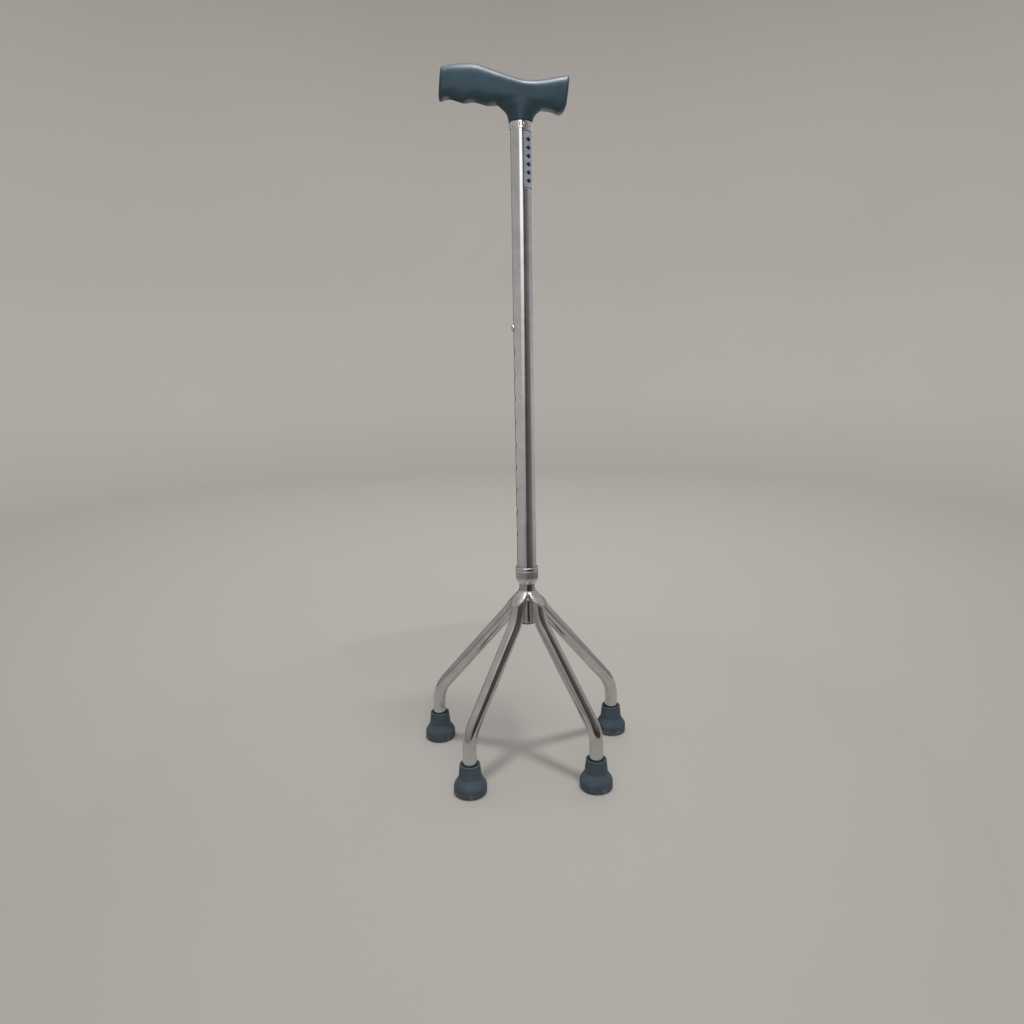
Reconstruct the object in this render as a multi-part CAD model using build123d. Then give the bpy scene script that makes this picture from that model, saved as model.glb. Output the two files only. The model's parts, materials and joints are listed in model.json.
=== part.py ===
from build123d import *
import math
import os

os.makedirs("parts", exist_ok=True)

# Quad walking cane: height-adjustable shaft, offset grip and a four-legged base.
# Millimetres, +Z up, origin on the floor under the shaft axis.
# +X is the short end of the grip, -Y is the side of the two closer-set legs.

# ---- shaft -------------------------------------------------------------
TUBE_R = 11.1            # outer tube, 7/8 inch
TUBE_BORE_R = 9.8
TUBE_BOTTOM = 233.4
TUBE_TOP = 749.0
HOLE_COUNT = 10
HOLE_PITCH = 25.4        # one inch between height settings
HOLE_R = 4.1
TOP_HOLE_Z = 515.9       # setting in use: shortest cane
POST_R = 9.1             # inner tube carrying the base
POST_BORE_R = 7.8
POST_BOTTOM = 179.0
POST_TOP = 541.0
FIT = 0.08               # radial running clearance

# ---- lock nut and what it clamps --------------------------------------
NUT_BOTTOM = 226.6
NUT_TOP = 246.6
NUT_R = 13.1
NUT_BORE_R = 11.83
SLEEVE_R = NUT_BORE_R - FIT
SLEEVE_TOP = 245.4
KNURL_COUNT = 48
KNURL_CUT_R = 0.4
RING_BOTTOM = NUT_BOTTOM + 1.6
RING_TOP = NUT_BOTTOM + 6.6
RING_SLIT = 1.6

# ---- base --------------------------------------------------------------
LEG_R = 8.0
LEG_BORE_R = 6.5
LEG_TOP = (13.0, 211.0)  # distance from the shaft axis and height of a leg's upper end
FRONT_KNEE = (19.5, 181.5)
REAR_KNEE = (16.2, 197.0)
WELD_Z = 216.5           # the upper ends are cut to a cone that meets the post here
WELD_SLOPE = 1.1
WELD_T = 1.7
WELD_LOW = 199.5         # the cone stops here, clear of the legs below
BEND_Z = 67.3
BEND_RADIUS = 50.0
LEG_BOTTOM = 8.5
FRONT_X = 72.0
REAR_X = 112.0
FOOT_Y = 66.0
FOOT_R = 18.9
FOOT_TOP = 35.6
FOOT_NECK_R = 11.6
WASHER_T = 1.5

# ---- grip --------------------------------------------------------------
COLLAR_BOTTOM = 715.2
COLLAR_TOP = 722.8
COLLAR_R = 11.6
SCREW_Z = 741.0

# ---- button ------------------------------------------------------------
BUTTON_R = 3.8
BUTTON_REACH = 13.4      # tip of the dome from the shaft axis
LEAF_X = 6.85
LEAF_T = 0.6
LEAF_W = 7.0

LEGS = {
    "front_left": (-FRONT_X, -FOOT_Y),
    "front_right": (FRONT_X, -FOOT_Y),
    "rear_left": (-REAR_X, FOOT_Y),
    "rear_right": (REAR_X, FOOT_Y),
}


def save(shape, name):
    shape.label = name
    export_step(shape, "parts/" + name + ".step")


def cyl(radius, z0, z1):
    """Upright cylinder on the shaft axis between two heights."""
    return Pos(0, 0, (z0 + z1) / 2) * Cylinder(radius, z1 - z0)


def pipe(outer, inner, z0, z1):
    return cyl(outer, z0, z1) - cyl(inner, z0 - 1, z1 + 1)


def turned(points):
    """Solid of revolution about the shaft axis from (radius, height) points."""
    outline = [(r, 0, z) for r, z in points]
    return revolve(make_face(Polyline(*outline, close=True)), axis=Axis.Z)


def smooth(table, x):
    """Catmull-Rom value of a table of (x, value) pairs."""
    if x <= table[0][0]:
        return table[0][1]
    if x >= table[-1][0]:
        return table[-1][1]
    i = max(k for k in range(len(table) - 1) if table[k][0] <= x)
    x0, v0 = table[i]
    x1, v1 = table[i + 1]
    before = table[max(i - 1, 0)]
    after = table[min(i + 2, len(table) - 1)]
    m0 = (v1 - before[1]) / (x1 - before[0])
    m1 = (after[1] - v0) / (after[0] - x0)
    h = x1 - x0
    t = (x - x0) / h
    a = (2 * t**3 - 3 * t**2 + 1) * v0 + (t**3 - 2 * t**2 + t) * h * m0
    b = (3 * t**2 - 2 * t**3) * v1 + (t**3 - t**2) * h * m1
    return a + b


# ---- grip shape --------------------------------------------------------
GRIP_TOP = [
    (-83.0, 774.9), (-80.5, 775.4), (-70.0, 776.8), (-56.3, 777.7), (-42.6, 776.5), (-23.2, 770.1),
    (0.5, 762.9), (12.7, 761.7), (25.6, 762.7), (38.7, 765.3), (50.5, 767.2),
]
GRIP_BOTTOM = [
    (-84.0, 743.7), (-79.0, 744.7), (-71.4, 746.5), (-64.0, 744.7), (-57.7, 742.7), (-52.0, 743.1),
    (-46.7, 743.6), (-40.0, 742.0), (-33.7, 740.3), (-29.0, 740.1), (-24.5, 740.6), (-12.0, 738.7),
    (6.0, 735.7), (18.0, 735.1), (24.0, 735.0), (31.9, 734.1), (37.2, 732.3), (42.6, 730.7),
    (45.6, 731.8), (48.5, 735.3),
]
GRIP_HALF_WIDTH = [
    (-84.0, 12.6), (-60.0, 13.6), (-30.0, 14.2), (0.0, 14.4), (25.0, 14.2), (50.0, 13.2),
]
GRIP_LEFT = -82.3
GRIP_RIGHT = 48.6
GRIP_EDGE = 2.2          # rounding of the two end faces
CROWN_POWER = 2.6        # superellipse exponents of the cross-sections, above and below
BELLY_POWER = 3.8


def grip_section(x, inset):
    """Closed curve around the grip at station x, pulled in by inset."""
    top = smooth(GRIP_TOP, x) - inset
    bottom = smooth(GRIP_BOTTOM, x) + inset
    half = smooth(GRIP_HALF_WIDTH, x) - inset
    middle = (top + bottom) / 2
    rise = (top - bottom) / 2
    share = (x - GRIP_LEFT) / (GRIP_RIGHT - GRIP_LEFT)
    lean = 0.105 + 0.02 * share
    lean = lean * abs(2 * share - 1) ** 2
    points = []
    for k in range(32):
        a = 2 * math.pi * k / 32
        c, s = math.cos(a), math.sin(a)
        power = 2 / (CROWN_POWER if s > 0 else BELLY_POWER)
        y = half * math.copysign(abs(c) ** power, c)
        z = rise * math.copysign(abs(s) ** power, s)
        points.append((x + lean * z, y, middle + z))
    return make_face(Spline(*points, periodic=True))


def grip_body():
    ends = [(0.0, GRIP_EDGE), (0.2, 1.3), (0.8, 0.55), (GRIP_EDGE, 0.0)]
    stations = [(GRIP_LEFT + d, inset) for d, inset in ends]
    x = GRIP_LEFT + 5.5
    while x < GRIP_RIGHT - 5.0:
        stations.append((x, 0.0))
        x += 4.1
    stations += [(GRIP_RIGHT - d, inset) for d, inset in reversed(ends)]
    return loft([grip_section(x, inset) for x, inset in stations])


def grip_neck():
    """Flaring neck between the collar and the underside of the grip."""
    rings = [
        (COLLAR_TOP, -12.8, 12.6, 12.5), (727.5, -13.2, 13.9, 12.9), (731.3, -14.7, 17.3, 13.3),
        (735.2, -18.2, 22.5, 13.7), (739.2, -23.2, 26.6, 14.0), (745.0, -27.0, 29.0, 14.1),
        (751.0, -28.0, 30.0, 13.6),
    ]
    faces = []
    for z, left, right, half in rings:
        centre = (left + right) / 2
        reach = (right - left) / 2
        points = []
        for k in range(20):
            a = 2 * math.pi * k / 20
            points.append((centre + reach * math.cos(a), half * math.sin(a), z))
        faces.append(make_face(Spline(*points, periodic=True)))
    return loft(faces)


def screw_cone():
    profile = [(0, 3.0), (1.6, 3.0), (1.6, 11.1), (3.3, 12.3), (0, 12.3)]
    return Pos(0, 0, SCREW_Z) * Rot(-90, 0, 0) * turned(profile)


def handle_grip():
    body = grip_body() + grip_neck()
    body -= cyl(TUBE_R, COLLAR_TOP - 1, TUBE_TOP)
    body -= Pos(0, 14.3, SCREW_Z) * Rot(90, 0, 0) * Cylinder(3.4, 4.0)
    return body - screw_cone()


def handle_screw():
    body = screw_cone()
    body -= Pos(0, 12.0, SCREW_Z) * Box(3.6, 0.9, 0.9)
    return body - Pos(0, 12.0, SCREW_Z) * Box(0.9, 0.9, 3.6)


def handle_collar():
    profile = [
        (TUBE_R, COLLAR_BOTTOM), (11.6, COLLAR_BOTTOM), (11.9, COLLAR_BOTTOM + 0.3),
        (11.9, COLLAR_BOTTOM + 1.0), (COLLAR_R, COLLAR_BOTTOM + 1.3), (COLLAR_R, COLLAR_TOP),
        (TUBE_R, COLLAR_TOP),
    ]
    return turned(profile)


def tube_plug():
    body = pipe(TUBE_BORE_R, 3.0, TUBE_TOP - 24, TUBE_TOP)
    body -= cyl(6.6, TUBE_TOP - 24, TUBE_TOP - 19)
    return body - screw_cone()


# ---- shaft -------------------------------------------------------------
def wall_hole(radius, z):
    """Hole through the -X wall of a shaft tube."""
    return Pos(-9.5, 0, z) * Rot(0, 90, 0) * Cylinder(radius, 9.0)


def upper_tube():
    body = pipe(TUBE_R, TUBE_BORE_R, TUBE_BOTTOM, TUBE_TOP)
    for i in range(HOLE_COUNT):
        body -= wall_hole(HOLE_R, TOP_HOLE_Z - i * HOLE_PITCH)
    return body - screw_cone()


def label_band():
    outline = [(TUBE_R, 656.5), (TUBE_R + 0.2, 656.5), (TUBE_R + 0.2, 713.5), (TUBE_R, 713.5)]
    strip = make_face(Polyline(*[(r, 0, z) for r, z in outline], close=True))
    return Rot(0, 0, -78) * revolve(strip, axis=Axis.Z, revolution_arc=74)


def post_tube():
    body = pipe(POST_R, POST_BORE_R, POST_BOTTOM, POST_TOP)
    return body - wall_hole(HOLE_R, TOP_HOLE_Z)


def post_end_plug():
    body = cyl(POST_R, POST_BOTTOM - 1.5, POST_BOTTOM)
    body = fillet(body.edges().filter_by(GeomType.CIRCLE).sort_by(Axis.Z)[0], 1.0)
    body += cyl(POST_BORE_R, POST_BOTTOM, POST_BOTTOM + 10)
    return body - cyl(6.2, POST_BOTTOM + 1, POST_BOTTOM + 11)


def guide_bush():
    """Nylon bush in the top of the post, running inside the outer tube."""
    collar = cyl(TUBE_BORE_R - FIT, POST_TOP, POST_TOP + 6)
    collar = chamfer(collar.edges().filter_by(GeomType.CIRCLE), 0.5)
    return collar + cyl(POST_BORE_R, POST_TOP - 7, POST_TOP) - cyl(6.4, POST_TOP - 8, POST_TOP + 7)


# ---- lock nut group ----------------------------------------------------
def threaded_sleeve():
    body = pipe(SLEEVE_R, TUBE_R, TUBE_BOTTOM, SLEEVE_TOP)
    edges = body.edges().filter_by(GeomType.CIRCLE).filter_by(lambda e: e.radius > TUBE_R + 0.1)
    return chamfer(edges, 0.35)


def clamp_ring():
    """Split wedge ring squeezed onto the post by the cone inside the nut."""
    bore = POST_R + FIT
    profile = [
        (bore, RING_BOTTOM), (10.04, RING_BOTTOM), (11.68, RING_TOP - 0.4),
        (11.75, RING_TOP - 0.2), (11.75, RING_TOP), (bore, RING_TOP),
    ]
    slit = Pos(0, 10.6, (RING_BOTTOM + RING_TOP) / 2) * Box(RING_SLIT, 6, 8)
    return turned(profile) - slit


def lock_nut():
    b, t = NUT_BOTTOM, NUT_TOP
    profile = [
        (9.4, b), (9.9, b), (10.2, b + 0.35), (11.5, b + 2.6), (12.3, b + 4.4), (12.3, b + 4.8),
        (12.75, b + 5.2), (NUT_R, b + 7.0), (NUT_R, b + 15.3), (12.7, b + 15.6), (12.7, b + 16.1),
        (NUT_R, b + 16.4), (NUT_R, t - 1.0), (12.3, t), (NUT_BORE_R, t),
        (NUT_BORE_R, b + 6.4), (10.05, b + 1.4), (9.4, b + 1.4),
    ]
    body = turned(profile)
    flute = Pos(NUT_R + 0.1, 0, b + 10.9) * Cylinder(KNURL_CUT_R, 8.4)
    for i in range(KNURL_COUNT):
        body -= Rot(0, 0, 360 * i / KNURL_COUNT) * flute
    return body


# ---- button ------------------------------------------------------------
def snap_button():
    """Domed pin through post and tube, riveted to the leaf spring."""
    base = LEAF_X + 0.3
    profile = [
        (0, 5.3), (2.2, 5.3), (2.2, LEAF_X - LEAF_T - 0.3), (1.2, LEAF_X - LEAF_T - 0.3),
        (1.2, base), (BUTTON_R, base), (BUTTON_R, 11.7), (3.45, 12.4), (2.6, 12.95), (1.4, 13.3),
        (0, BUTTON_REACH),
    ]
    return Pos(0, 0, TOP_HOLE_Z) * Rot(0, -90, 0) * turned(profile)


def button_spring():
    """V-shaped leaf, drawn as one strip folded at its foot."""
    top = TOP_HOLE_Z + 7
    knee = TOP_HOLE_Z - 8
    low = TOP_HOLE_Z - 43.4
    out, into = LEAF_X, LEAF_X - LEAF_T
    outer = [Line((-out, 0, top), (-out, 0, knee)), Line((-out, 0, knee), (-2.6, 0, low))]
    outer += [ThreePointArc((-2.6, 0, low), (0, 0, low - 2.5), (2.6, 0, low))]
    outer += [Line((2.6, 0, low), (out, 0, knee)), Line((out, 0, knee), (out, 0, top))]
    inner = [Line((out, 0, top), (into, 0, top)), Line((into, 0, top), (into, 0, knee))]
    inner += [Line((into, 0, knee), (2.0, 0, low))]
    inner += [ThreePointArc((2.0, 0, low), (0, 0, low - 1.9), (-2.0, 0, low))]
    inner += [Line((-2.0, 0, low), (-into, 0, knee)), Line((-into, 0, knee), (-into, 0, top))]
    inner += [Line((-into, 0, top), (-out, 0, top))]
    body = extrude(make_face(Wire(outer + inner)), LEAF_W / 2, both=True)
    return body - Pos(-6.55, 0, TOP_HOLE_Z) * Rot(0, 90, 0) * Cylinder(1.5, 3)


# ---- base --------------------------------------------------------------
def leg_rod(foot, radius):
    """Solid along a leg's bent centre line, running on above its upper end."""
    x, y = foot
    reach = math.hypot(x, y)
    knee = FRONT_KNEE if y < 0 else REAR_KNEE
    lean = (knee[0] - LEG_TOP[0]) / (LEG_TOP[1] - knee[1])
    start = (LEG_TOP[0] - 12 * lean, LEG_TOP[1] + 12)
    spine = [(x * r / reach, y * r / reach, z) for r, z in (start, knee)]
    spine += [(x, y, BEND_Z), (x, y, LEG_BOTTOM)]
    path = FilletPolyline(*spine, radius=BEND_RADIUS)
    along = Vector(*spine[1]) - Vector(*spine[0])
    return sweep(Plane(origin=spine[0], z_dir=along) * Circle(radius), path=path)


def leg_block(foot):
    """Leg as a solid rod, saddle-cut to the post and trimmed halfway to its neighbours."""
    body = leg_rod(foot, LEG_R) - cyl(POST_R, POST_BOTTOM - 20, WELD_Z + 30)
    for other in LEGS.values():
        if other != foot:
            apart = Vector(*foot, 0).normalized() - Vector(*other, 0).normalized()
            plane = Plane(origin=(0, 0, WELD_Z), z_dir=apart)
            body -= plane * Pos(0, 0, -30) * Box(120, 120, 60)
    return body


def above_cone(lift):
    """Everything above the cone that the upper leg ends are cut to, raised by lift."""
    tip = WELD_Z + lift + WELD_SLOPE * POST_R
    rim = (tip - WELD_LOW) / WELD_SLOPE
    return turned([(0, tip), (rim, WELD_LOW), (40, WELD_LOW), (40, tip + 40), (0, tip + 40)])


def leg(name):
    """Bent leg tube with its upper end cut to the post and sloped."""
    foot = LEGS[name]
    return leg_block(foot) - leg_rod(foot, LEG_BORE_R) - above_cone(0)


def weld_collar():
    """Weld metal round the post between the legs and over their sloped upper ends."""
    profile = [
        (POST_R, WELD_Z - 10), (10.3, WELD_Z - 8.5), (10.9, WELD_Z - 5.5), (10.7, WELD_Z - 2.5),
        (10.0, WELD_Z + 0.4), (POST_R, WELD_Z + 2.2),
    ]
    body = turned(profile)
    for foot in LEGS.values():
        block = leg_block(foot)
        body = body + (block - above_cone(WELD_T)) - (block - above_cone(0))
    return body.solids().sort_by(SortBy.VOLUME)[-1]


def foot_ferrule(x, y):
    """Rubber ferrule with a grooved tread and a socket for the leg tube."""
    profile = [
        (0, 2.0), (9.0, 2.0), (9.6, 0.0), (11.6, 0.0), (12.0, 1.2), (13.2, 1.2), (13.6, 0.0),
        (16.9, 0.0), (18.2, 0.9), (FOOT_R, 2.6), (FOOT_R, 9.8), (18.5, 11.6), (17.3, 13.7),
        (15.4, 16.5), (14.0, 18.7), (13.3, 20.0), (FOOT_NECK_R + 0.1, FOOT_TOP - 0.7),
        (FOOT_NECK_R - 0.4, FOOT_TOP), (9.6, FOOT_TOP), (LEG_R, FOOT_TOP - 3.2),
        (LEG_R, LEG_BOTTOM - WASHER_T), (0, LEG_BOTTOM - WASHER_T),
    ]
    return Pos(x, y, 0) * turned(profile)


def foot_washer(x, y):
    return Pos(x, y, 0) * pipe(LEG_R, 2.5, LEG_BOTTOM - WASHER_T, LEG_BOTTOM)


save(post_tube(), "post_tube")
save(post_end_plug(), "post_end_plug")
save(guide_bush(), "guide_bush")
save(button_spring(), "button_spring")
save(weld_collar(), "weld_collar")
for place, (foot_x, foot_y) in LEGS.items():
    save(leg(place), "leg_" + place)
    save(foot_ferrule(foot_x, foot_y), "foot_" + place)
    save(foot_washer(foot_x, foot_y), "foot_washer_" + place)

save(upper_tube(), "upper_tube")
save(threaded_sleeve(), "threaded_sleeve")
save(tube_plug(), "tube_plug")
save(handle_collar(), "handle_collar")
save(handle_grip(), "handle_grip")
save(handle_screw(), "handle_screw")
save(label_band(), "label_band")

save(snap_button(), "snap_button")
save(clamp_ring(), "clamp_ring")
save(lock_nut(), "lock_nut")
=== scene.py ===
import json
import math
import bmesh
import bpy
from mathutils import Matrix, Vector, noise


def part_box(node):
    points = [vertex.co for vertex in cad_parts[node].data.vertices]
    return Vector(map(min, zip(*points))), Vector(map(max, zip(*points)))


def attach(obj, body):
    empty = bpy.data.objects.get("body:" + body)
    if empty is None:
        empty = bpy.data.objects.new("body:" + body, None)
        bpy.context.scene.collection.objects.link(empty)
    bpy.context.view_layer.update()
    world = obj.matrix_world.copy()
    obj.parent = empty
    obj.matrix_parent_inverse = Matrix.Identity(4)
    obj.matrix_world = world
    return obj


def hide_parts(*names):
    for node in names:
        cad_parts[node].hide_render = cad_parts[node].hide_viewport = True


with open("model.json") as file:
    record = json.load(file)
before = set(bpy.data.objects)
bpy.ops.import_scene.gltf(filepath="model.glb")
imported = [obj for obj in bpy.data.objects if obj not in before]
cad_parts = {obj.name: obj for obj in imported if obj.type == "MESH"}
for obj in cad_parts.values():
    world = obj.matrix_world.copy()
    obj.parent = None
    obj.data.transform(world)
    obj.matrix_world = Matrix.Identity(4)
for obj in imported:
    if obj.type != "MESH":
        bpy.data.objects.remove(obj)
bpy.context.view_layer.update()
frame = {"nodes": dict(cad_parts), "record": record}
NODES = frame["nodes"]
MM = 0.001


def clamped(value):
    return min(1.0, max(0.0, value))


def middle(node):
    """Centre of a CAD node's box, in metres."""
    lo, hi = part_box(node)
    return (lo + hi) / 2


# ---- camera ----------------------------------------------------------------
CAMERA_AT = (-0.0526, -0.8403, 0.4849)
YAW, PITCH, ROLL = math.radians(2.48), math.radians(11.68), math.radians(1.04)
SENSOR_MM, LENS_MM = 36, 26.327


def make_camera():
    """Camera at CAMERA_AT that looks along +Y, turned by YAW, tipped down by PITCH and rolled by ROLL."""
    ahead = Vector((math.sin(YAW) * math.cos(PITCH), math.cos(YAW) * math.cos(PITCH), -math.sin(PITCH)))
    right = Vector((math.cos(YAW), -math.sin(YAW), 0))
    up = right.cross(ahead)
    turn = Matrix((right, up, -ahead)).transposed().to_4x4()
    data = bpy.data.cameras.new("camera")
    data.sensor_width = SENSOR_MM
    data.lens = LENS_MM
    camera = bpy.data.objects.new("camera", data)
    camera.matrix_world = Matrix.Translation(CAMERA_AT) @ turn @ Matrix.Rotation(-ROLL, 4, "Z")
    bpy.context.scene.collection.objects.link(camera)
    bpy.context.scene.camera = camera


make_camera()

# ---- mesh helpers ------------------------------------------------------------
STRAIGHT = math.radians(176)    # corners flatter than this are left as they are
CORNER_SHARE = 0.48             # most of an edge that one rounded corner may take


def rounded(points, steps=5):
    """Outline of (r, z, corner radius) points in mm with its corners rounded, as (r, z)."""
    out = []
    for i, (r, z, size) in enumerate(points):
        here = Vector((r, z))
        if size == 0 or i in (0, len(points) - 1):
            out.append(here)
            continue
        a = Vector(points[i - 1][:2]) - here
        b = Vector(points[i + 1][:2]) - here
        angle = a.angle(b)
        if angle > STRAIGHT:
            out.append(here)
            continue
        reach = min(size / math.tan(angle / 2), a.length * CORNER_SHARE, b.length * CORNER_SHARE)
        p, q = here + a.normalized() * reach, here + b.normalized() * reach
        for k in range(steps + 1):
            t = k / steps
            out.append(p * (1 - t) ** 2 + here * 2 * t * (1 - t) + q * t**2)
    return out


def make_object(name, mesh, material, smooth=40):
    """Object with a smooth-shaded mesh, sharp where faces turn by more than smooth degrees."""
    for face in mesh.polygons:
        face.use_smooth = True
    mesh.materials.append(material)
    piece = bpy.data.objects.new(name, mesh)
    bpy.context.scene.collection.objects.link(piece)
    if smooth:
        mesh.set_sharp_from_angle(angle=math.radians(smooth))
    return piece


def lathe(name, outline, material, segments=96, place=None, shift=None, smooth=40, closed=False):
    """Turned piece from (r, z) points in mm. An outline that starts and ends on the axis is a solid;
    a closed one is a ring. shift(i, angle) adds to the radius of outline point i."""
    bm = bmesh.new()
    rings = []
    for i, (r, z) in enumerate(outline):
        if r < 1e-6:
            rings.append([bm.verts.new((0, 0, z * MM))])
            continue
        ring = []
        for k in range(segments):
            a = 2 * math.pi * k / segments
            rr = (r + (shift(i, a) if shift else 0)) * MM
            ring.append(bm.verts.new((rr * math.cos(a), rr * math.sin(a), z * MM)))
        rings.append(ring)
    pairs = list(zip(rings, rings[1:]))
    if closed:
        pairs.append((rings[-1], rings[0]))
    for low, high in pairs:
        for k in range(segments):
            n = (k + 1) % segments
            if len(low) == 1:
                bm.faces.new((low[0], high[n], high[k]))
            elif len(high) == 1:
                bm.faces.new((low[k], low[n], high[0]))
            else:
                bm.faces.new((low[k], low[n], high[n], high[k]))
    bmesh.ops.recalc_face_normals(bm, faces=bm.faces)
    if place:
        bm.transform(place)
    mesh = bpy.data.meshes.new(name)
    bm.to_mesh(mesh)
    bm.free()
    return make_object(name, mesh, material, smooth)


def applied(piece):
    """Applies every modifier on a piece and gives it the resulting mesh."""
    graph = bpy.context.evaluated_depsgraph_get()
    mesh = bpy.data.meshes.new_from_object(piece.evaluated_get(graph))
    piece.modifiers.clear()
    piece.data = mesh
    for face in mesh.polygons:
        face.use_smooth = True
    return piece


# ---- material helpers --------------------------------------------------------


class Paint:
    """A material's node tree, with short calls for the nodes used here."""

    def __init__(self, name, metallic=0.0, roughness=0.5, specular=0.5):
        self.material = bpy.data.materials.new(name)
        self.material.use_nodes = True
        self.tree = self.material.node_tree
        self.shader = self.tree.nodes["Principled BSDF"]
        self.shader.inputs["Metallic"].default_value = metallic
        self.shader.inputs["Roughness"].default_value = roughness
        self.shader.inputs["Specular IOR Level"].default_value = specular
        self.place = self.tree.nodes.new("ShaderNodeTexCoord").outputs["Object"]

    def put(self, socket, value):
        if isinstance(value, bpy.types.NodeSocket):
            self.tree.links.new(value, socket)
        else:
            socket.default_value = value

    def stretch(self, x, y, z):
        node = self.tree.nodes.new("ShaderNodeMapping")
        node.inputs["Scale"].default_value = (x, y, z)
        self.tree.links.new(self.place, node.inputs["Vector"])
        return node.outputs["Vector"]

    def noise(self, scale, detail=3.0, rough=0.55, vector=None, distortion=0.0):
        node = self.tree.nodes.new("ShaderNodeTexNoise")
        node.inputs["Scale"].default_value = scale
        node.inputs["Detail"].default_value = detail
        node.inputs["Roughness"].default_value = rough
        node.inputs["Distortion"].default_value = distortion
        self.tree.links.new(vector or self.place, node.inputs["Vector"])
        return node.outputs["Fac"]

    def math(self, operation, a, b=0.0):
        node = self.tree.nodes.new("ShaderNodeMath")
        node.operation = operation
        self.put(node.inputs[0], a)
        self.put(node.inputs[1], b)
        return node.outputs[0]

    def span(self, value, low, high, to_low=0.0, to_high=1.0):
        """value mapped from low..high to to_low..to_high, clamped, with soft ends."""
        node = self.tree.nodes.new("ShaderNodeMapRange")
        node.interpolation_type = "SMOOTHSTEP"
        self.put(node.inputs["Value"], value)
        node.inputs["From Min"].default_value = low
        node.inputs["From Max"].default_value = high
        node.inputs["To Min"].default_value = to_low
        node.inputs["To Max"].default_value = to_high
        return node.outputs["Result"]

    def mix(self, factor, a, b):
        node = self.tree.nodes.new("ShaderNodeMix")
        node.data_type = "RGBA"
        self.put(node.inputs["Factor"], factor)
        for socket, value in ((node.inputs[6], a), (node.inputs[7], b)):
            self.put(socket, value if isinstance(value, bpy.types.NodeSocket) else (*value, 1.0))
        return node.outputs[2]

    def axes(self):
        node = self.tree.nodes.new("ShaderNodeSeparateXYZ")
        self.tree.links.new(self.place, node.inputs[0])
        return node.outputs

    def worn(self, low=0.52, high=0.62):
        """1 on outward edges, from the mesh's own curvature."""
        node = self.tree.nodes.new("ShaderNodeNewGeometry")
        return self.span(node.outputs["Pointiness"], low, high)

    def bump(self, height, strength, distance, before=None):
        node = self.tree.nodes.new("ShaderNodeBump")
        node.inputs["Strength"].default_value = strength
        node.inputs["Distance"].default_value = distance
        self.put(node.inputs["Height"], height)
        if before:
            self.tree.links.new(before, node.inputs["Normal"])
        return node.outputs["Normal"]

    def finish(self, colour=None, roughness=None, normal=None):
        for name, value in (("Base Color", colour), ("Roughness", roughness), ("Normal", normal)):
            if value is not None:
                self.tree.links.new(value, self.shader.inputs[name])
        return self.material


TOP_HOLE, HOLE_PITCH, HOLE_COUNT, HOLE_SHADE_R = 515.9, 25.4, 10, 5.0
# painted shade: the near-black colour of the disc round each height hole
HOLE_SHADE_COLOUR = (0.05, 0.048, 0.045)


def painted_hole_shade(p):
    """1 on the painted shade round the height holes: a dark disc on the shaft's -X side."""
    x, y, z = (p.math("MULTIPLY", axis, 1000.0) for axis in p.axes())
    steps = p.math("DIVIDE", p.math("SUBTRACT", TOP_HOLE, z), HOLE_PITCH)
    below = p.math("GREATER_THAN", steps, -0.5)
    above = p.math("LESS_THAN", steps, HOLE_COUNT - 0.5)
    off = p.math("MULTIPLY", p.math("SUBTRACT", p.math("FRACT", p.math("ADD", steps, 0.5)), 0.5), HOLE_PITCH)
    reach = p.math("SQRT", p.math("ADD", p.math("MULTIPLY", off, off), p.math("MULTIPLY", y, y)))
    rim = p.math("MULTIPLY", p.span(reach, HOLE_SHADE_R - 0.3, HOLE_SHADE_R + 0.3, 1.0, 0.0), p.math("LESS_THAN", x, 0.0))
    return p.math("MULTIPLY", rim, p.math("MULTIPLY", below, above))


EVEN = (1, 1, 1)                # grain with no direction
DRAWN = (1, 1, 0.012)           # grain drawn out along Z
HAIRS = (1, 1, 0.06)            # long thin marks along Z


def metal(name, dark, light, rough, grain, grain_scale, depth, scratch, holes=False):
    """Bright metal: uneven polish, faint smears, hair scratches and a slightly wavy surface. rough is
    the roughness of its brightest and dullest patches; holes adds painted shade, a dark disc round each
    height hole."""
    p = Paint(name, metallic=1.0, roughness=rough[0])
    lines = p.noise(grain_scale, 4.0, 0.6, p.stretch(*grain))
    smear = p.noise(28.0, 4.0, 0.6, distortion=1.2)
    hair = p.noise(230.0, 2.0, 0.5, p.stretch(*HAIRS))
    marks = p.span(hair, 0.70, 0.76)
    colour = p.mix(p.span(smear, 0.35, 0.7), dark, light)
    # painted shade round the height holes, mixed into the metal's colour
    if holes:
        colour = p.mix(painted_hole_shade(p), colour, HOLE_SHADE_COLOUR)
    level = p.span(smear, 0.3, 0.75, rough[0], rough[1])
    level = p.math("ADD", level, p.span(lines, 0.35, 0.75, 0.0, (rough[1] - rough[0]) * 0.6))
    level = p.math("ADD", level, p.math("MULTIPLY", marks, scratch * 0.4))
    normal = p.bump(lines, depth, 0.0003)
    normal = p.bump(marks, scratch * 0.25, 0.00008, normal)
    return p.finish(colour, level, normal)


DUST = (0.33, 0.30, 0.26)
DUST_TOP = 0.012                # metres above the floor


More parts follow.
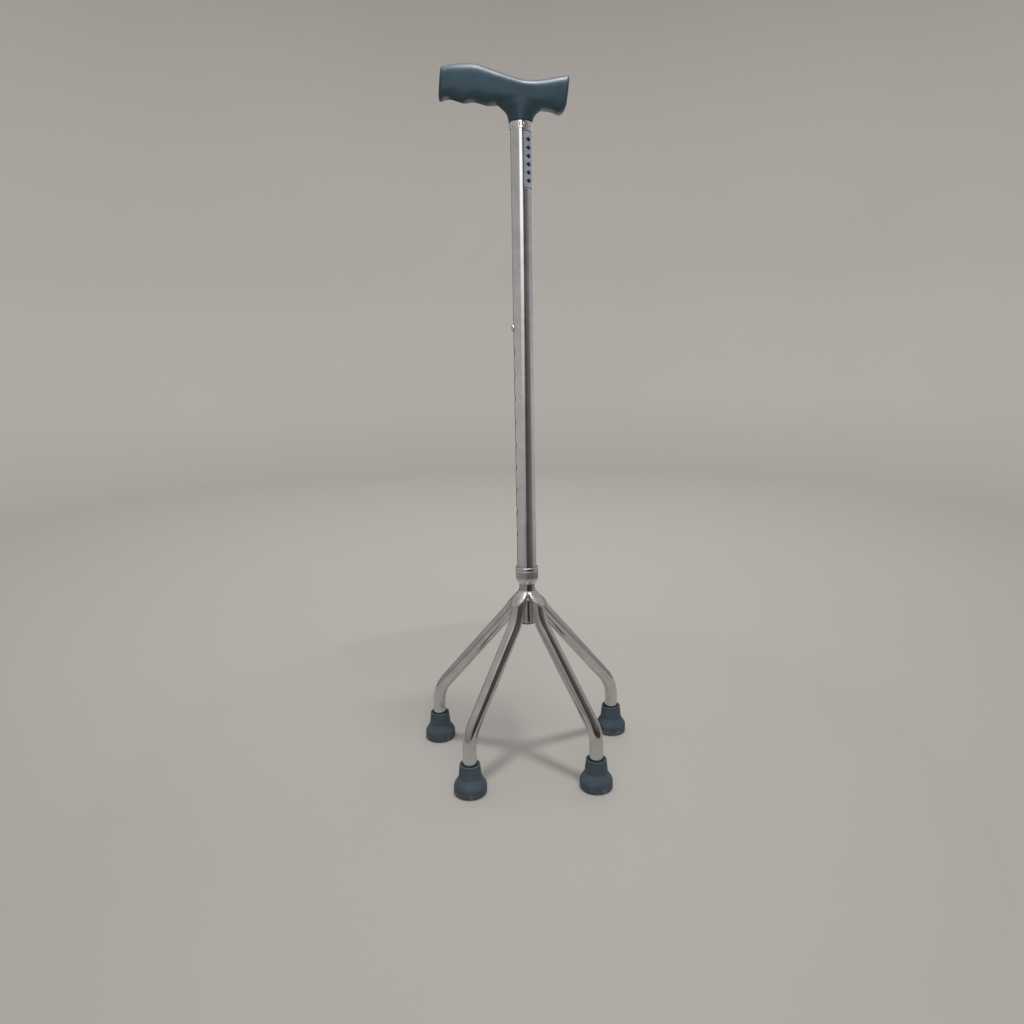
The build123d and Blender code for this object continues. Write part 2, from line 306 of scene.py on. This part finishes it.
def moulded(name, dark, light, rough, grain, depth, dust=0.0, wear=0.5, shine=0.4):
    """Moulded plastic or rubber: mottled colour, fine texture, paler worn edges, dust low down."""
    p = Paint(name, roughness=rough[0], specular=shine)
    cloud = p.noise(45.0, 4.0, 0.6)
    speck = p.noise(grain, 2.0, 0.5)
    colour = p.mix(p.span(cloud, 0.3, 0.7), dark, light)
    paler = tuple(min(1.0, c * 1.9 + 0.015) for c in light)
    edge = p.math("MULTIPLY", p.worn(), p.span(p.noise(170.0, 3.0), 0.35, 0.65, 0.2, 1.0))
    colour = p.mix(p.math("MULTIPLY", edge, wear), colour, paler)
    if dust:
        low = p.span(p.axes()[2], 0.0, DUST_TOP, 1.0, 0.0)
        patch = p.span(p.noise(120.0, 5.0, 0.65), 0.42, 0.72)
        settled = p.math("MULTIPLY", p.math("MULTIPLY", low, patch), dust)
        colour = p.mix(settled, colour, DUST)
    level = p.span(cloud, 0.3, 0.7, rough[0], rough[1])
    level = p.math("ADD", level, p.span(speck, 0.3, 0.7, -0.04, 0.04))
    normal = p.bump(speck, depth, 0.0002)
    normal = p.bump(p.noise(grain / 6, 3.0), depth * 0.5, 0.0004, normal)
    return p.finish(colour, level, normal)


# ---- materials ---------------------------------------------------------------
LOOKS = {
    "grip": moulded(
        "grip", (0.020, 0.046, 0.064), (0.027, 0.058, 0.079), (0.36, 0.44), 1500, 0.12, wear=0.25, shine=0.36
    ),
    "foot_rubber": moulded(
        "foot_rubber", (0.038, 0.056, 0.075), (0.050, 0.073, 0.095), (0.52, 0.64), 900, 0.3,
        dust=0.4, wear=0.8, shine=0.3,
    ),
    "black_plastic": moulded(
        "black_plastic", (0.014, 0.014, 0.015), (0.024, 0.023, 0.024), (0.45, 0.6), 1200, 0.2
    ),
    "white_nylon": moulded("white_nylon", (0.68, 0.66, 0.60), (0.76, 0.75, 0.70), (0.38, 0.5), 1200, 0.15),
    "satin_aluminium": metal(
        "satin_aluminium", (0.70, 0.69, 0.69), (0.80, 0.79, 0.79), (0.10, 0.17), DRAWN, 420, 0.05, 0.2, True
    ),
    "chrome_tube": metal(
        "chrome_tube", (0.56, 0.55, 0.54), (0.64, 0.64, 0.64), (0.03, 0.08), EVEN, 60, 0.03, 0.2
    ),
    "collar_chrome": metal(
        "collar_chrome", (0.76, 0.75, 0.73), (0.86, 0.85, 0.83), (0.05, 0.12), EVEN, 90, 0.05, 0.2
    ),
    "nut_metal": metal(
        "nut_metal", (0.66, 0.64, 0.63), (0.76, 0.74, 0.73), (0.14, 0.22), EVEN, 160, 0.03, 0.1
    ),
    "spring_steel": metal(
        "spring_steel", (0.46, 0.46, 0.47), (0.58, 0.58, 0.60), (0.22, 0.34), EVEN, 200, 0.06, 0.3
    ),
    "button_steel": metal(
        "button_steel", (0.66, 0.66, 0.66), (0.76, 0.76, 0.76), (0.10, 0.2), EVEN, 200, 0.06, 0.3
    ),
    "weld_bead": metal(
        "weld_bead", (0.50, 0.49, 0.48), (0.72, 0.71, 0.70), (0.16, 0.32), EVEN, 520, 0.3, 0.1
    ),
}

LABEL_R, LABEL_BEARING = 11.3, math.radians(49)    # on the shaft, to the right of its front
LABEL_MID, LABEL_HALF = 685.0, 27.55                # border lines, mm up and from the middle
MARKS_FROM, MARK_PITCH, MARK_COUNT = 660.5, 8.0, 6  # lowest edge of the column of marks, mm
INK = (0.018, 0.024, 0.075)


def film():
    """Thin bluish film with a column of plain lozenges and a border line at each end."""
    p = Paint("label", metallic=0.55, roughness=0.2)
    x, y, z = p.axes()
    turn = p.math("MULTIPLY", p.math("ARCTAN2", y, x), LABEL_R)
    across = p.math("ABSOLUTE", p.math("ADD", turn, LABEL_BEARING * LABEL_R))
    column = p.math("MULTIPLY", p.math("SUBTRACT", z, MARKS_FROM * MM), 1000 / MARK_PITCH)
    step = p.math("SUBTRACT", p.math("FRACT", column), 0.5)
    along = p.math("ABSOLUTE", p.math("MULTIPLY", step, MARK_PITCH))
    lozenge = p.math("ADD", p.math("MULTIPLY", across, 0.8), p.math("MULTIPLY", along, 1.15))
    mark = p.span(lozenge, 2.8, 3.1, 1.0, 0.0)
    below, above = p.span(column, 0.0, 0.02), p.span(column, MARK_COUNT - 0.02, MARK_COUNT, 1.0, 0.0)
    mark = p.math("MULTIPLY", mark, p.math("MULTIPLY", below, above))
    ends = p.math("ABSOLUTE", p.math("SUBTRACT", p.math("MULTIPLY", z, 1000), LABEL_MID))
    inner = p.span(ends, LABEL_HALF - 0.45, LABEL_HALF - 0.25)
    outer = p.span(ends, LABEL_HALF + 0.25, LABEL_HALF + 0.45, 1.0, 0.0)
    cloud = p.noise(90.0, 4.0)
    base = p.mix(p.span(cloud, 0.3, 0.7), (0.40, 0.44, 0.54), (0.50, 0.54, 0.64))
    colour = p.mix(p.math("MAXIMUM", mark, p.math("MULTIPLY", inner, outer)), base, INK)
    hair = p.span(p.noise(260.0, 2.0, 0.5, p.stretch(*HAIRS)), 0.7, 0.76)
    level = p.math("ADD", p.span(cloud, 0.3, 0.7, 0.16, 0.26), p.math("MULTIPLY", hair, 0.15))
    return p.finish(colour, level, p.bump(p.noise(140.0, 3.0), 0.06, 0.0003))


LOOKS["label"] = film()

for entry in frame["record"]["subparts"]:
    node = NODES[entry["node"]]
    node.data.materials.clear()
    node.data.materials.append(LOOKS[entry["material_slot"]])


def stands_for(piece, node, body):
    """piece rides on body and stands for a CAD node, which is hidden."""
    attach(piece, body)
    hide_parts(node)


# ---- grip --------------------------------------------------------------------
NECK_BOTTOM, NECK_TOP, NECK_HALF = 724.0, 752.0, 36.0    # where the neck is blended, fading over 5 to 8 mm


def grip():
    """The grip as one moulded skin: remeshed, its neck blended into the underside."""
    mesh = NODES["handle_grip"].data.copy()
    mesh.name = "grip_skin"
    mesh.materials.clear()
    piece = make_object("grip_skin", mesh, LOOKS["grip"], 0)
    remesh = piece.modifiers.new("remesh", "REMESH")
    remesh.mode = "VOXEL"
    remesh.voxel_size = 0.00065
    applied(piece)
    neck = piece.vertex_groups.new(name="neck")
    for v in piece.data.vertices:
        x, z = v.co.x / MM, v.co.z / MM
        upright = clamped((z - NECK_BOTTOM) / 5.0) * clamped((NECK_TOP - z) / 8.0)
        side = clamped((NECK_HALF - abs(x - 1.0)) / 8.0)
        neck.add([v.index], upright * side, "REPLACE")
    blend = piece.modifiers.new("blend", "SMOOTH")
    blend.vertex_group = "neck"
    blend.factor = 0.6
    blend.iterations = 16
    even = piece.modifiers.new("even", "SMOOTH")
    even.factor = 0.5
    even.iterations = 5
    applied(piece)
    piece.vertex_groups.clear()
    stands_for(piece, "handle_grip", "upper")


grip()

# ---- turned pieces -------------------------------------------------------------
COLLAR_BOTTOM, DENTS, DENT_DEPTH = 715.2, 18, 0.3
NUT_BOTTOM, NUT_TOP, FLUTES, FLUTE_DEPTH = 226.6, 246.6, 48, 0.55


def collar():
    """Chrome ring under the grip: rolled lower lip and a row of small crimp dents."""
    z = COLLAR_BOTTOM
    outline = rounded([
        (11.12, z, 0), (11.6, z, 0.2), (11.9, z + 0.25, 0.2), (11.9, z + 1.0, 0.2), (11.6, z + 1.3, 0.15),
        (11.55, z + 1.6, 0), (11.6, z + 2.2, 0), (11.6, z + 3.0, 0), (11.6, z + 4.0, 0), (11.6, z + 5.0, 0),
        (11.6, z + 5.8, 0), (11.6, z + 7.0, 0.3), (11.35, z + 7.6, 0.2), (11.12, z + 7.6, 0),
    ])

    def dent(i, angle):
        r, height = outline[i]
        if r < 11.58 or not z + 2.5 < height < z + 5.5:
            return 0.0
        return -DENT_DEPTH * max(0.0, math.cos(angle * DENTS)) ** 2

    piece = lathe("collar_ring", outline, LOOKS["collar_chrome"], DENTS * 16, shift=dent, closed=True)
    stands_for(piece, "handle_collar", "upper")


collar()


def nut():
    """Knurled lock nut: plain chamfered rim, groove, fluted band and rounded foot."""
    b, t = NUT_BOTTOM, NUT_TOP
    points = [
        (9.4, b, 0), (10.0, b, 0.25), (10.5, b + 0.5, 0.4), (11.5, b + 2.4, 0.8), (12.0, b + 3.3, 0.15),
        (11.85, b + 3.6, 0.15), (12.35, b + 4.0, 0.2), (12.75, b + 5.0, 0), (12.95, b + 6.2, 0),
        (13.05, b + 8.0, 0), (13.05, b + 11.0, 0), (13.0, b + 14.0, 0), (12.9, b + 15.2, 0.25),
        (12.5, b + 15.6, 0.12), (12.5, b + 16.0, 0.12), (13.1, b + 16.4, 0.25), (13.1, t - 1.0, 0.45),
        (12.3, t, 0.3), (11.9, t, 0), (11.83, b + 6.4, 0), (10.05, b + 1.4, 0), (9.4, b + 1.4, 0),
    ]
    outline = rounded(points, 4)

    def cut(i, angle):
        r, z = outline[i]
        if r < 12.2:
            return 0.0
        band = clamped((z - b - 3.9) / 0.8) * clamped((b + 15.3 - z) / 0.6)
        groove = max(0.0, math.cos(angle * FLUTES)) ** 3
        return -FLUTE_DEPTH * band * groove

    piece = lathe("lock_nut_ring", outline, LOOKS["nut_metal"], FLUTES * 8, shift=cut, smooth=50, closed=True)
    stands_for(piece, "lock_nut", "nut")


nut()


def button():
    """Domed head of the snap button, with the start of its stem, pointing along -X."""
    outline = rounded([
        (0, 5.3, 0), (2.1, 5.3, 0.3), (2.1, 7.15, 0), (3.75, 7.15, 0.2), (3.75, 11.6, 0.5),
        (3.35, 12.45, 0.5), (2.5, 12.95, 0.6), (1.3, 13.28, 0.8), (0, 13.38, 0),
    ])
    place = Matrix.Translation((0, 0, TOP_HOLE * MM)) @ Matrix.Rotation(-math.pi / 2, 4, "Y")
    piece = lathe("button_dome", outline, LOOKS["button_steel"], 64, place)
    stands_for(piece, "snap_button", "button")


button()


def ferrule(where):
    """Moulded rubber foot: ringed tread, broad base, soft shoulder, neck with a rolled lip."""
    points = [
        (0, 2.0, 0), (9.0, 2.0, 0.4), (9.5, 0.0, 0.35), (11.6, 0.0, 0.35), (12.0, 1.2, 0.3), (13.2, 1.2, 0.3),
        (13.6, 0.0, 0.35), (16.9, 0.0, 0.5), (18.2, 0.9, 0.8), (18.88, 2.6, 1.0), (18.88, 9.9, 0.9),
        (18.3, 11.7, 1.2), (16.9, 14.1, 2.5), (15.0, 16.9, 2.5), (13.5, 19.3, 0.25), (13.2, 20.3, 0.5),
        (12.4, 28.0, 3.0), (11.8, 33.2, 0.5), (11.75, 33.9, 0.3), (11.85, 34.4, 0.3), (11.75, 35.1, 0.4),
        (11.2, 35.58, 0.3),
        (9.9, 35.55, 0.5), (9.3, 34.6, 0.5), (8.05, 32.4, 0.3), (8.02, 7.0, 0), (0, 7.0, 0),
    ]
    x, y = middle("foot_washer_" + where)[:2]
    place = Matrix.Translation((x, y, 0))
    piece = lathe("ferrule_" + where, rounded(points), LOOKS["foot_rubber"], 112, place, smooth=55)
    stands_for(piece, "foot_" + where, "base")


FEET = ("front_left", "front_right", "rear_left", "rear_right")
for where in FEET:
    ferrule(where)

# ---- welds -----------------------------------------------------------------------
WELD_Z, WELD_SLOPE, POST_R = 216.5, 1.1, 9.1
LEG_TOP_R, LEG_END_R = 14.2, 6.6    # each leg end's distance from the axis, and the ring of lumps on it
POST_LUMPS, LEG_LUMPS = 34, 20


def cone_height(r):
    """Height of the sloped leg ends at a distance r from the post's axis."""
    return WELD_Z - WELD_SLOPE * (r - POST_R)


def drops():
    """Centres and radii in mm of the lumps of weld metal round the post and over the leg ends."""
    out = []
    for k in range(POST_LUMPS):
        angle = 2 * math.pi * k / POST_LUMPS
        lump = noise.noise(Vector((k * 0.71, 3.1, 0)))
        z = WELD_Z - 1.2 + 1.4 * noise.noise(Vector((k * 0.9, 0, 7.7)))
        reach = POST_R + 0.6 + 0.5 * lump
        out.append((Vector((reach * math.cos(angle), reach * math.sin(angle), z)), 1.4 + 0.6 * lump))
    for n, where in enumerate(FEET):
        foot = middle("foot_washer_" + where)
        heading = math.atan2(foot.y, foot.x)
        centre = Vector((math.cos(heading), math.sin(heading), 0)) * LEG_TOP_R
        for k in range(LEG_LUMPS):
            angle = 2 * math.pi * k / LEG_LUMPS
            lump = noise.noise(Vector((k * 0.83, n * 5.3, 1.7)))
            spot = centre + Vector((math.cos(angle), math.sin(angle), 0)) * (LEG_END_R + 0.5 * lump)
            reach = spot.length
            if POST_R + 0.8 < reach < LEG_TOP_R + 1.0:
                spot.z = cone_height(reach) + 0.2 + 0.7 * noise.noise(Vector((k * 1.3, n * 2.1, 9.0)))
                out.append((spot, 1.15 + 0.5 * lump))
    return out


def welds():
    """Rippled beads round the post and over the sloped leg ends, grown from the CAD weld."""
    bm = bmesh.new()
    bm.from_mesh(NODES["weld_collar"].data)
    for centre, radius in drops():
        made = bmesh.ops.create_icosphere(bm, subdivisions=3, radius=radius * MM)
        bmesh.ops.translate(bm, verts=made["verts"], vec=centre * MM)
    mesh = bpy.data.meshes.new("weld_beads")
    bm.to_mesh(mesh)
    bm.free()
    piece = make_object("weld_beads", mesh, LOOKS["weld_bead"], 0)
    remesh = piece.modifiers.new("remesh", "REMESH")
    remesh.mode = "VOXEL"
    remesh.voxel_size = 0.0004
    even = piece.modifiers.new("even", "SMOOTH")
    even.factor = 0.5
    even.iterations = 4
    applied(piece)
    stands_for(piece, "weld_collar", "base")


welds()

# ---- floor and light ----------------------------------------------------------------
FLOOR_Z, FLAT_R, CURVE_R, WALL_TOP = -0.02, 2400, 900, 3200    # mm


def studio():
    """Pale floor that curves up into a round backdrop. Near the cane and the camera the floor is painted
    darker, as painted shade.
    """
    p = Paint("floor", roughness=0.5, specular=0.3)
    rise = p.span(p.axes()[2], 0.0, 0.3)
    cloud = p.span(p.noise(1.1, 3.0), 0.3, 0.7)
    # painted shade: the floor is darker near the cane and the camera and grows paler further back and further
    # out
    painted_shade_near = p.mix(cloud, (0.285, 0.270, 0.253), (0.295, 0.280, 0.263))
    x, y, _ = p.axes()
    out = p.math("SQRT", p.math("ADD", p.math("MULTIPLY", x, x), p.math("MULTIPLY", y, y)))
    out_of_painted_shade = p.math("MAXIMUM", p.span(y, -0.9, 2.6), p.span(out, 1.1, 2.6))
    floor = p.mix(out_of_painted_shade, painted_shade_near, (0.62, 0.592, 0.564))
    wall = p.mix(cloud, (0.66, 0.633, 0.605), (0.68, 0.653, 0.625))
    p.finish(p.mix(rise, floor, wall), p.span(cloud, 0.0, 1.0, 0.48, 0.52))
    outline = [(r, FLOOR_Z) for r in (0, 100, 400, 1000, 1800, FLAT_R)]
    for k in range(1, 17):
        a = math.radians(90 * k / 16)
        outline.append((FLAT_R + CURVE_R * math.sin(a), CURVE_R * (1 - math.cos(a)) + FLOOR_Z))
    outline.append((FLAT_R + CURVE_R, WALL_TOP))
    lathe("studio_bowl", outline, p.material, 128, smooth=0)


studio()

# A round screen that only reflections see: a bright window high up with a dark edge beside it, in front
# and again behind. Bearings are in degrees from the camera's, and grow to the right.
FACING = math.degrees(math.atan2(CAMERA_AT[1], CAMERA_AT[0]))
SCREEN_R, SCREEN_TOP = 0.5, 0.96
FRONT_FROM, FRONT_TO, BEARING_STEP = -140, 80, 1.5
# Each row: height, the window's left and right edges, its strength, then how pale the screen is to the
# left of the window, at the dark edge and far to the right.
WINDOW = [
    (0.0, -22, -3, 0.26, 0.26, 0.028, 0.10),
    (0.07, -22, -3, 0.27, 0.27, 0.028, 0.10),
    (0.153, -22, -3, 0.29, 0.36, 0.050, 0.24),
    (0.38, -26, 2, 0.46, 0.46, 0.052, 0.24),
    (0.58, -20, 9, 0.75, 0.40, 0.055, 0.23),
    (0.695, -18, 12, 1.1, 0.38, 0.055, 0.22),
    (0.812, -14, 11, 1.4, 0.37, 0.055, 0.22),
]
WHITE, GREY, BROWN = Vector((1.0, 1.0, 1.03)), Vector((1.0, 0.975, 0.95)), Vector((1.17, 0.95, 0.80))


def between(table, z):
    """The row for height z, worked out from the rows above and below it. Above the table it is the last."""
    for (z0, *a), (z1, *b) in zip(table, table[1:]):
        if z <= z1:
            t = (z - z0) / (z1 - z0)
            return [u + (v - u) * t for u, v in zip(a, b)]
    return table[-1][1:]


def screen_colour(bearing, z):
    left, right, strength, pale, dark, far = between(WINDOW, z)
    window = WHITE * strength
    if bearing < left:
        return (GREY * pale).lerp(window, clamped(1 - (left - bearing) / 7) ** 2)
    if bearing < right:
        return window
    past = bearing - right
    if past < 3:
        return window.lerp(BROWN * dark, past / 3)
    reach = 95 - 40 * clamped((z - 0.35) / 0.3)
    return (BROWN * dark).lerp(GREY * far, min(1.0, past / reach) ** 1.5)


def screen():
    bm = bmesh.new()
    shades = []
    bearings = [FRONT_FROM + BEARING_STEP * i for i in range(round(360 / BEARING_STEP) + 1)]
    heights = [SCREEN_TOP * j / 44 for j in range(45)]
    rows = []
    for z in heights:
        row = []
        for bearing in bearings:
            a = math.radians(FACING + bearing)
            row.append(bm.verts.new((SCREEN_R * math.cos(a), SCREEN_R * math.sin(a), z)))
            shades.append(screen_colour(bearing if bearing <= FRONT_TO else bearing - 180, z))
        rows.append(row)
    for under, over in zip(rows, rows[1:]):
        for i in range(len(bearings) - 1):
            bm.faces.new((under[i], under[i + 1], over[i + 1], over[i]))
    mesh = bpy.data.meshes.new("reflected_screen")
    bm.to_mesh(mesh)
    bm.free()
    layer = mesh.color_attributes.new("glow", "FLOAT_COLOR", "POINT")
    for entry, shade in zip(layer.data, shades):
        entry.color = (*shade, 1.0)
    material = bpy.data.materials.new("reflected_screen")
    material.use_nodes = True
    tree = material.node_tree
    tree.nodes.clear()
    shader = tree.nodes.new("ShaderNodeEmission")
    source = tree.nodes.new("ShaderNodeVertexColor")
    source.layer_name = "glow"
    tree.links.new(source.outputs["Color"], shader.inputs["Color"])
    tree.links.new(shader.outputs[0], tree.nodes.new("ShaderNodeOutputMaterial").inputs["Surface"])
    panel = make_object("reflected_screen", mesh, material, 0)
    panel.visible_camera = False
    panel.visible_diffuse = False
    panel.visible_transmission = False
    panel.visible_shadow = False


screen()


def lamp(name, size, place, aim, power, colour, seen=True):
    """Square soft lamp, size metres across, that shines from place towards aim."""
    data = bpy.data.lights.new(name, "AREA")
    data.size = size
    data.energy = power
    data.color = colour
    light = bpy.data.objects.new(name, data)
    light.location = place
    light.rotation_euler = (Vector(aim) - Vector(place)).to_track_quat("-Z", "Y").to_euler()
    light.visible_camera = False
    light.visible_glossy = seen
    bpy.context.scene.collection.objects.link(light)


lamp("overhead", 0.24, (0.12, -0.27, 2.3), (0, 0, 0.2), 25, (1.0, 0.985, 0.96))
lamp("ceiling", 2.4, (0, 0.1, 2.6), (0, 0.1, 0), 30, (0.97, 0.985, 1.0))
lamp("front", 1.2, (0.1, -2.1, 1.3), (0, 0, 0.5), 17, (1.0, 1.0, 1.0), False)

world = bpy.data.worlds.new("studio")
bpy.context.scene.world = world
world.use_nodes = True
sky = world.node_tree.nodes["Background"]
sky.inputs["Color"].default_value = (0.80, 0.79, 0.77, 1)
sky.inputs["Strength"].default_value = 0.45
bpy.context.scene.view_settings.view_transform = "Standard"
